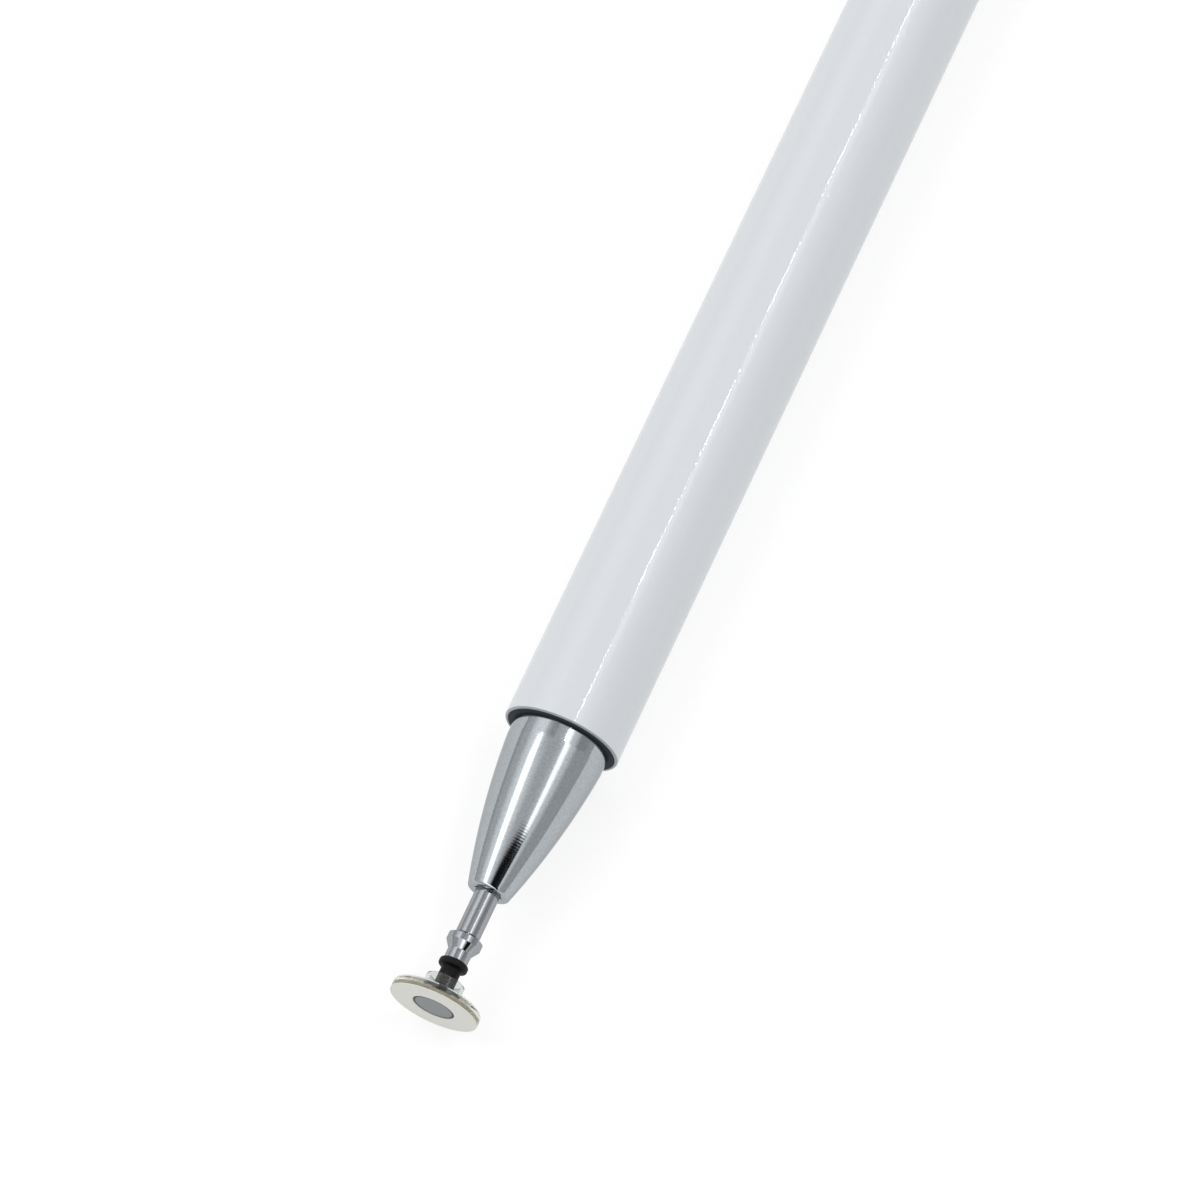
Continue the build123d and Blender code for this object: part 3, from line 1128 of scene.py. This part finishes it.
def even_light(level):
    """A world that lights the pen evenly at a level, and shows white."""
    world = bpy.data.worlds.new("even_studio_light")
    world.use_nodes = True
    tree = world.node_tree
    tree.nodes.clear()
    light = add(tree, "ShaderNodeBackground", {"Color": linear("#ffffff"), "Strength": level})
    white = add(tree, "ShaderNodeBackground", {"Color": linear("#ffffff"), "Strength": 1.0})
    mixed = add(
        tree,
        "ShaderNodeMixShader",
        {0: rays(tree), 1: light.outputs["Background"], 2: white.outputs["Background"]},
    )
    add(tree, "ShaderNodeOutputWorld", {"Surface": mixed.outputs["Shader"]})
    return world


def facing(place, back):
    """The placing of a lamp or camera that looks away from back, with its own up in the upright plane."""
    right = np.cross([0, 0, 1], back)
    right = right / np.linalg.norm(right)
    up = np.cross(back, right)
    matrix = np.eye(4)
    matrix[:3] = np.stack([right, up, back, place], axis=1)
    return Matrix(matrix.tolist())


class STYLUS_OT_stage(bpy.types.Operator):
    """Makes the pale floor, the soft lights and the camera"""

    bl_idname = "stylus.stage"
    bl_label = "Stage"

    def execute(self, context):
        scene = context.scene
        settings = scene.stylus_stage
        turn, rise, height = settings.turn, settings.rise, settings.ceiling
        across = np.array([np.cos(turn), np.sin(turn), 0])
        ahead = np.array([-np.sin(turn), np.cos(turn), 0])
        upright = np.array([0, 0, 1])
        nose = np.array([MOUTH + place_of("nose_cone", 0) / 2 * MM, 0, AXIS_HEIGHT])

        floor_half, cloth_half = 2.0, height * 40
        flat_panel("floor", floor_half, (0, 0, 0), 0, floor_paper(settings.floor))
        scene.world = even_light(settings.ambient)

        # Only gloss sees the cloth, and it lights nothing
        cloth = flat_panel("lamp_ceiling", cloth_half, nose + upright * height, turn, lamp_cloth(height))
        for way in ("camera", "diffuse", "transmission", "volume_scatter", "shadow"):
            setattr(cloth, "visible_" + way, False)

        # Each lamp's direction as a side and a lead ahead to one height, its width in metres and its power in
        # watts. Gloss sees the cloth instead.
        lamp_height, lamp_distance = 0.85, 0.9
        lamps = (("broad_lamp", -0.6, 0.25, 0.6, 2.2), ("narrow_lamp", 0.5, 0.1, 0.3, 1.3))
        for name, side, lead, width, power in lamps:
            data = bpy.data.lights.new(name, "AREA")
            data.size = width
            data.energy = power
            lamp = bpy.data.objects.new(name, data)
            scene.collection.objects.link(lamp)
            way = across * side + ahead * lead + upright * lamp_height
            back = way / np.linalg.norm(way)
            lamp.matrix_world = facing(nose + back * lamp_distance, back)
            for kind in ("camera", "glossy", "transmission"):
                setattr(lamp, "visible_" + kind, False)

        data = bpy.data.cameras.new("camera")
        data.lens = settings.lens
        data.sensor_width = 36
        data.clip_start = 0.01
        data.clip_end = 20
        camera = bpy.data.objects.new("camera", data)
        scene.collection.objects.link(camera)
        camera.matrix_world = facing(np.array(settings.eye), upright * np.sin(rise) - ahead * np.cos(rise))
        scene.camera = camera
        scene.view_settings.view_transform = "Standard"
        return {"FINISHED"}


# Add-on

GROUPS = (
    ("stylus_barrel", BarrelSettings, "stylus.barrel"),
    ("stylus_mouth", MouthSettings, "stylus.mouth"),
    ("stylus_nose", NoseSettings, "stylus.nose"),
    ("stylus_rod", RodSettings, "stylus.rod"),
    ("stylus_neck", NeckSettings, "stylus.neck"),
    ("stylus_disc", DiscSettings, "stylus.disc"),
    ("stylus_stage", StageSettings, "stylus.stage"),
)


class STYLUS_PT_panel(bpy.types.Panel):
    """The pen's sizes and colours, with a button for each group of pieces"""

    bl_idname = "STYLUS_PT_panel"
    bl_label = "Stylus pen"
    bl_space_type = "VIEW_3D"
    bl_region_type = "UI"
    bl_category = "Stylus"

    def draw(self, context):
        for name, group, operator in GROUPS:
            box = self.layout.box()
            settings = getattr(context.scene, name)
            for key in group.__annotations__:
                box.prop(settings, key)
            box.operator(operator)


CLASSES = (
    *(group for name, group, operator in GROUPS),
    STYLUS_OT_barrel,
    STYLUS_OT_mouth,
    STYLUS_OT_nose,
    STYLUS_OT_rod,
    STYLUS_OT_neck,
    STYLUS_OT_disc,
    STYLUS_OT_stage,
    STYLUS_PT_panel,
)


def register():
    """Registers the classes, and gives the scene its settings."""
    for kind in CLASSES:
        bpy.utils.register_class(kind)
    for name, group, operator in GROUPS:
        setattr(bpy.types.Scene, name, PointerProperty(type=group))


def unregister():
    """Takes the settings and the classes away again."""
    for name, group, operator in GROUPS:
        delattr(bpy.types.Scene, name)
    for kind in reversed(CLASSES):
        bpy.utils.unregister_class(kind)


def main():
    """Makes every piece and the stage in order."""
    register()
    bpy.ops.stylus.barrel()
    bpy.ops.stylus.mouth()
    bpy.ops.stylus.nose()
    bpy.ops.stylus.rod()
    bpy.ops.stylus.neck()
    bpy.ops.stylus.disc()
    bpy.ops.stylus.stage()


if __name__ == "__main__":
    main()
